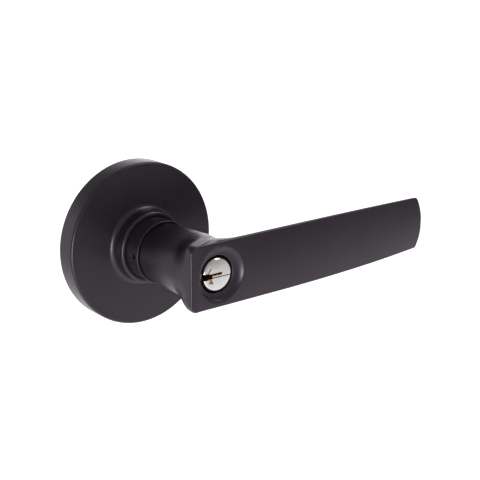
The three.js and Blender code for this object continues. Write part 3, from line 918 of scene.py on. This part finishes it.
def lever_body():
    rings = []
    for outer, inner, squareness, band in lever_stations():
        along = (inner - outer).normalized()
        upper = []
        for s, z in half_section(outer, inner, squareness, band):
            flat = outer + along * s
            share = (z / half_height(flat.x)) ** 2
            bulge = ARM["bulge"] * smooth(ARM["bulge_start"], ARM["length"], flat.x) * share
            upper.append(Vector((flat.x - bulge, -flat.y, z)))
        lower = [Vector((p.x, p.y, -p.z)) for p in reversed(upper[1:-1])]
        rings.append(upper + lower)
    last = rings[-1]
    middle = sum(last, Vector()) / len(last)
    for degrees in (15, 30, 45, 60, 75, 90):
        angle = math.radians(degrees)
        ring = []
        for p in last:
            inward = middle - p
            inward.x = 0
            ring.append(
                p
                + Vector((TIP_ROUND * math.sin(angle), 0, 0))
                + inward.normalized() * TIP_DRAW * (1 - math.cos(angle))
            )
        rings.append(ring)
    return loft(rings)


def face_surface(x, z):
    return face_out(x) - FACE["crown"] * (z / half_height(x)) ** 2


def dish_tool():
    """The scooped dish in the lever's face, with a soft lip that follows the face's crown."""
    segments = 160
    lip = DISH["lip"]
    slope = math.radians(DISH["rim_slope"])
    columns = []
    for j in range(segments):
        angle = 2 * math.pi * j / segments
        aim = Vector((math.cos(angle), math.sin(angle)))
        floor_point = aim * DISH["floor_radius"]
        rim_point = aim * DISH["radius"] + Vector((DISH["shift"], 0))
        surface = face_surface(rim_point.x, rim_point.y)
        run = (rim_point - floor_point).length
        heading = (rim_point - floor_point).normalized()
        drop = surface - DISH["floor"]
        lean = math.atan2(2 * drop, run)
        reach = lip * math.tan(lean / 2)
        column = [(floor_point, DISH["floor"])]
        for share in (0.25, 0.45, 0.62, 0.76, 0.87):
            column.append((floor_point + heading * run * share, DISH["floor"] + drop * share**2))
        start = Vector((-reach * math.cos(lean), surface - reach * math.sin(lean)))
        heart = start + lip * Vector((math.sin(lean), -math.cos(lean)))
        for k in range(6):
            turn = lerp(lean, slope, k / 5)
            offset = heart.x - lip * math.sin(turn)
            column.append((rim_point + heading * offset, heart.y + lip * math.cos(turn)))
        past, last = column[-1]
        past = past + heading * 0.9
        column.append((past, last + 0.9 * math.tan(slope)))
        column.append((past, FACE["out"] + 3))
        columns.append([(point.x, -out, point.y) for point, out in column])
    return loft([[column[i] for column in columns] for i in range(len(columns[0]))])


def lever():
    shank = turned(
        softened(
            [
                (0, SHANK["out"]),
                (SHANK["radius"], SHANK["out"]),
                (SHANK["radius"], NECK["out"] + 1),
                (0, NECK["out"] + 1),
            ],
            0.5,
        ),
        128,
    )
    radius, lip, floor = DISH["hole"], DISH["hole_lip"], DISH["floor"]
    rounding = []
    for degrees in (22, 45, 67, 90):
        angle = math.radians(degrees)
        rounding.append((radius + lip * (1 - math.cos(angle)), floor - lip + lip * math.sin(angle)))
    hole = turned(
        [
            (0, BORE["end"] - 1),
            (radius, BORE["end"] - 1),
            (radius, floor - lip),
            *rounding,
            (radius + lip, FACE["out"] + 1),
            (0, FACE["out"] + 1),
        ],
        128,
    )
    window = rod(
        CATCH["stem"] + RUNNING,
        -SHANK["radius"] - 1,
        -SPINDLE["radius"] + 1,
        (0, -CATCH["out"], 0),
        "X",
    )
    bore = rod(BORE["radius"], -BORE["end"], -SHANK["out"] + 1, segments=96)
    half = BORE["slot_half"]
    slot = block(0, BORE["slot_x"], SHANK["out"] - 1, BORE["end"], -half, half)
    return cut(joined(lever_body(), shank), dish_tool(), hole, bore, slot, window)


# ---------------------------------------------------------------- cylinder

PIN_OUTS = [PINS["first"] - PINS["pitch"] * i for i in range(len(PINS["lengths"]))]


def chambers(start, end):
    return [rod(PINS["chamber"], start, end, (0, -out, 0), "X", 32) for out in PIN_OUTS]


def cylinder_housing():
    radius, front, back = SHELL["radius"], SHELL["front"], SHELL["back"]
    bible_x, half = SHELL["bible_x"], SHELL["bible_half"]
    nose = [(0, front), (7.1, front), (8.6, front - 1.5)]
    sides = [(radius, front - 1.8), (radius, back), (0, back)]
    barrel = turned(softened(nose + sides, 0.15), 96)
    bible = block(0, bible_x, back, front - 1, -half, half)
    bore = rod(PLUG["radius"] + RUNNING, -front - 1, -back + 1, segments=96)
    seat = block(
        bible_x - SEAT["depth"],
        bible_x + 1,
        back + SEAT["inset_back"],
        front - SEAT["inset_front"],
        -SEAT["half"],
        SEAT["half"],
    )
    stacks = chambers(PLUG["radius"] - 0.5, bible_x + 1)
    return bevelled(cut(joined(barrel, bible), bore, seat, *stacks), 0.1)


def pin_cover():
    play = 0.1
    top = SHELL["bible_x"] - play / 2
    back = SHELL["back"] + SEAT["inset_back"] + play
    front = SHELL["front"] - SEAT["inset_front"] - play
    half = SEAT["half"] - play
    return bevelled(block(top - 0.35, top, back, front, -half, half), 0.08)


KEYWAY = (
    (-9, -1.7),
    (-3.3, -1.7),
    (-2.6, -1.3),
    (2.6, -1.3),
    (2.6, -0.85),
    (-2.6, -0.85),
    (-2.6, -0.25),
    (2.4, -0.25),
    (2.4, 0.85),
    (-4.2, 0.85),
    (-4.4, 1.25),
    (-9, 1.25),
)
# Two small nicks above and below the keyway's throat, and the groove that runs on from its tip.
NICKS = (
    ((-5.1, 1.5), (-4.4, 1.4), (-2.8, 3.2), (-3.4, 3.4)),
    ((-4.1, -1.2), (-3.3, -1.2), (-2.2, -3.8), (-4.6, -3.3)),
)


def plug():
    radius, head, face = PLUG["radius"], PLUG["head"], PLUG["face"]
    back, tail, shoulder = PLUG["back"], PLUG["tail"], PLUG["shoulder"]
    neck, clip_groove = PLUG["neck"], PLUG["clip_groove"]
    core = turned(
        [
            (0, tail),
            (neck - 0.2, tail),
            (neck, tail + 0.2),
            (neck, back - 0.75),
            (clip_groove, back - 0.75),
            (clip_groove, back),
            (radius, back),
            (radius, shoulder),
            (head, shoulder),
            (head, face - 0.75),
            (head - 0.06, face - 0.6),
            (head - 0.5, face - 0.1),
            (head - 0.62, face - 0.02),
            (head - 0.75, face),
            (0, face),
        ],
        160,
    )
    core.data.materials.append(SLOT_MATERIALS["chrome"])
    keyway = slab(list(KEYWAY), back + 2, face + 1)
    nicks = [slab(list(nick), face - 0.7, face + 1) for nick in NICKS]
    groove = block(2.4, head - 0.4, face - 0.55, face + 1, -1.3, -0.85)
    slot = block(-1, 1, tail - 1, tail + 2.2, -2.75, 2.75)
    tools = [keyway, *nicks, groove, slot, *chambers(-1.6, radius + 1)]
    for tool in tools:
        tool.data.materials.append(SLOT_MATERIALS["brass"])
    return cut(core, *tools)


def bottom_pin(out, length):
    top = PINS["bottom_top"]
    tip = top - length
    r = PINS["radius"]
    outline = [(0, tip), (0.5, tip), (r, tip + 1), (r, top - 0.2), (r - 0.25, top), (0, top)]
    pin = turned(softened(outline, 0.15), 40)
    pin.data.transform(Matrix.Rotation(math.pi / 2, 4, "Z"))
    pin.data.transform(Matrix.Translation((0, -out, 0)))
    return pin


def driver_pin(out):
    foot, top = PINS["driver_foot"], PINS["driver_top"]
    return rod(PINS["radius"], foot, top, (0, -out, 0), "X", 40, soft=0.2)


def plug_clip():
    back = PLUG["back"]
    ring = tube(PLUG["clip_groove"] + 0.1, 7.3, back - 0.68, back - 0.08, 72, 0)
    return bevelled(cut(ring, block(-3.1, 3.1, back - 2, back + 1, -9, -2)), 0.08)


def tailpiece():
    half, thick = TAILPIECE["half_width"], TAILPIECE["half_thickness"]
    blade = block(-thick, thick, TAILPIECE["back"], PLUG["tail"] + 2, -half, half)
    return bevelled(blade, 0.25, 3)


def cylinder_spacer():
    return tube(7.6, SPINDLE["radius"], SPINDLE["front"] + 0.1, SHELL["back"] - 0.1)


# ---------------------------------------------------------------- assembly

dress(rose_cover(), "rose_cover", sharp=20)
dress(collar(), "collar")
dress(mounting_plate(), "mounting_plate")
dress(mounting_post(1), "upper_mounting_post")
dress(mounting_post(-1), "lower_mounting_post")
dress(spindle_bushing(), "spindle_bushing")
dress(thrust_washer(), "thrust_washer")
dress(return_spring(), "return_spring")
dress(cam_plate(), "cam_plate")
dress(spindle(), "spindle")
dress(circlip(), "circlip")
dress(lever_catch(), "lever_catch")
dress_spring(CATCH_SPRING, CATCH["out"], "catch_spring")
dress(catch_bridge(), "catch_bridge")
dress(lever(), "lever", sharp=28)
dress(cylinder_housing(), "cylinder_housing")
dress(pin_cover(), "pin_cover")
dress(cylinder_spacer(), "cylinder_spacer")
dress(plug(), "plug")
dress(plug_clip(), "plug_clip")
dress(tailpiece(), "tailpiece")
for i, out in enumerate(PIN_OUTS):
    dress(bottom_pin(out, PINS["lengths"][i]), f"bottom_pin_{i + 1}")
    dress(driver_pin(out), f"driver_pin_{i + 1}")
    dress_spring(PIN_SPRING, out, f"pin_spring_{i + 1}")


# ---------------------------------------------------------------- stage, lights and camera


# Painted glow of the card, which emits light though it is no lamp: how strong it is, and where it
# sets in along Y, with height and to the left. top_span also sets where the card's colour is painted
# grey towards the top as painted shade.
GLOW = dict(near=0.75, near_span=(-1.3, 0.15), far=0.45, far_span=(0.5, 1.6))
GLOW |= dict(top=0.1, top_span=(1.1, 1.7), lean=0.514, left=0.4, left_span=(-0.8, -0.2))
# The card in metres: its half width, its floor's height and ends, the bend's radius and the top.
SWEEP = dict(half=9, front=-9, floor=-0.3, bend_start=2.2, bend=0.8, top=5)


def stage_material():
    """White card that glows as painted light, more and more towards the back, and is painted grey
    towards the top as painted shade.
    """
    n = Nodes("stage_white")
    white = n.blend_colours(n.remap(n.noise(2, 2), 0, 1), (0.93, 0.93, 0.93), (0.95, 0.95, 0.95))
    place = n.add("ShaderNodeSeparateXYZ")
    n.link(n.coordinates, place.inputs["Vector"])
    # Painted shade: the card's colour turns grey towards the top, standing in for less light on the
    # upper wall.
    shade = n.remap(place.outputs["Z"], 0, 1, *GLOW["top_span"])
    colour = n.blend_colours(shade, white, (0.3, 0.3, 0.3))
    # Painted light: the card glows by emission, stronger towards the back, weaker with height and
    # weaker to the left.
    near = n.remap(place.outputs["Y"], 0, GLOW["near"], *GLOW["near_span"])
    far = n.remap(place.outputs["Y"], 0, GLOW["far"], *GLOW["far_span"])
    height = n.remap(place.outputs["Z"], 1, GLOW["top"], *GLOW["top_span"])
    lean = n.maths("MULTIPLY", place.outputs["Y"], GLOW["lean"])
    across = n.maths("SUBTRACT", place.outputs["X"], lean)
    side = n.remap(across, GLOW["left"], 1, *GLOW["left_span"])
    glow = n.maths("MULTIPLY", n.maths("MULTIPLY", n.maths("ADD", near, far), height), side)
    n.link(glow, n.shader.inputs["Emission Strength"])
    return n.finish(colour, Roughness=0.9, Emission_Color=(1, 1, 1, 1))


def sweep():
    """A pale floor that runs up into a wall far behind the object."""
    start, floor, bend, half = (SWEEP[k] for k in ("bend_start", "floor", "bend", "half"))
    profile = [(SWEEP["front"], floor), (start, floor)]
    for degrees in spread(0, 90, 13):
        angle = math.radians(degrees)
        profile.append((start + bend * math.sin(angle), floor + bend * (1 - math.cos(angle))))
    profile.append((start + bend, SWEEP["top"]))
    vertices = [(x, y, z) for y, z in profile for x in (-half, half)]
    faces = [(2 * i, 2 * i + 1, 2 * i + 3, 2 * i + 2) for i in range(len(profile) - 1)]
    card = body("studio_sweep", vertices, faces)
    card.data.materials.append(stage_material())
    card.data.shade_smooth()


def softbox(name, place, aim, size, power):
    data = bpy.data.lights.new(name, "AREA")
    data.shape = "RECTANGLE"
    data.size, data.size_y = size
    data.energy = power
    lamp = bpy.data.objects.new(name, data)
    lamp.location = place
    lamp.rotation_mode = "QUATERNION"
    lamp.rotation_quaternion = (Vector(aim) - Vector(place)).to_track_quat("-Z", "Y")
    bpy.context.scene.collection.objects.link(lamp)


def light():
    world = bpy.data.worlds.new("studio")
    world.use_nodes = True
    background = world.node_tree.nodes["Background"]
    background.inputs["Color"].default_value = (1, 1, 1, 1)
    background.inputs["Strength"].default_value = 0.35
    bpy.context.scene.world = world
    centre = (0.02, -0.03, 0)
    softbox("front_left", (-0.48, -0.62, -0.12), centre, (0.3, 0.3), 3.5)
    softbox("top_right", (0.55, -0.3, 0.75), centre, (0.35, 0.35), 2.5)


CAMERA = dict(azimuth=-38.16, elevation=16.82, roll=0.23, distance=0.57133, lens=92.33)
CAMERA_AIM = (0.03920, -0.03166, -0.00012)


def camera():
    azimuth, elevation = (math.radians(CAMERA[k]) for k in ("azimuth", "elevation"))
    back = Vector(
        (
            math.sin(azimuth) * math.cos(elevation),
            -math.cos(azimuth) * math.cos(elevation),
            math.sin(elevation),
        )
    )
    data = bpy.data.cameras.new("camera")
    data.lens = CAMERA["lens"]
    data.clip_start = 0.01
    eye = bpy.data.objects.new("camera", data)
    eye.location = Vector(CAMERA_AIM) + back * CAMERA["distance"]
    eye.rotation_mode = "QUATERNION"
    level = (-back).to_track_quat("-Z", "Y")
    eye.rotation_quaternion = level @ Quaternion((0, 0, 1), math.radians(CAMERA["roll"]))
    bpy.context.scene.collection.objects.link(eye)
    bpy.context.scene.camera = eye


sweep()
light()
camera()
bpy.context.scene.view_settings.view_transform = "Standard"
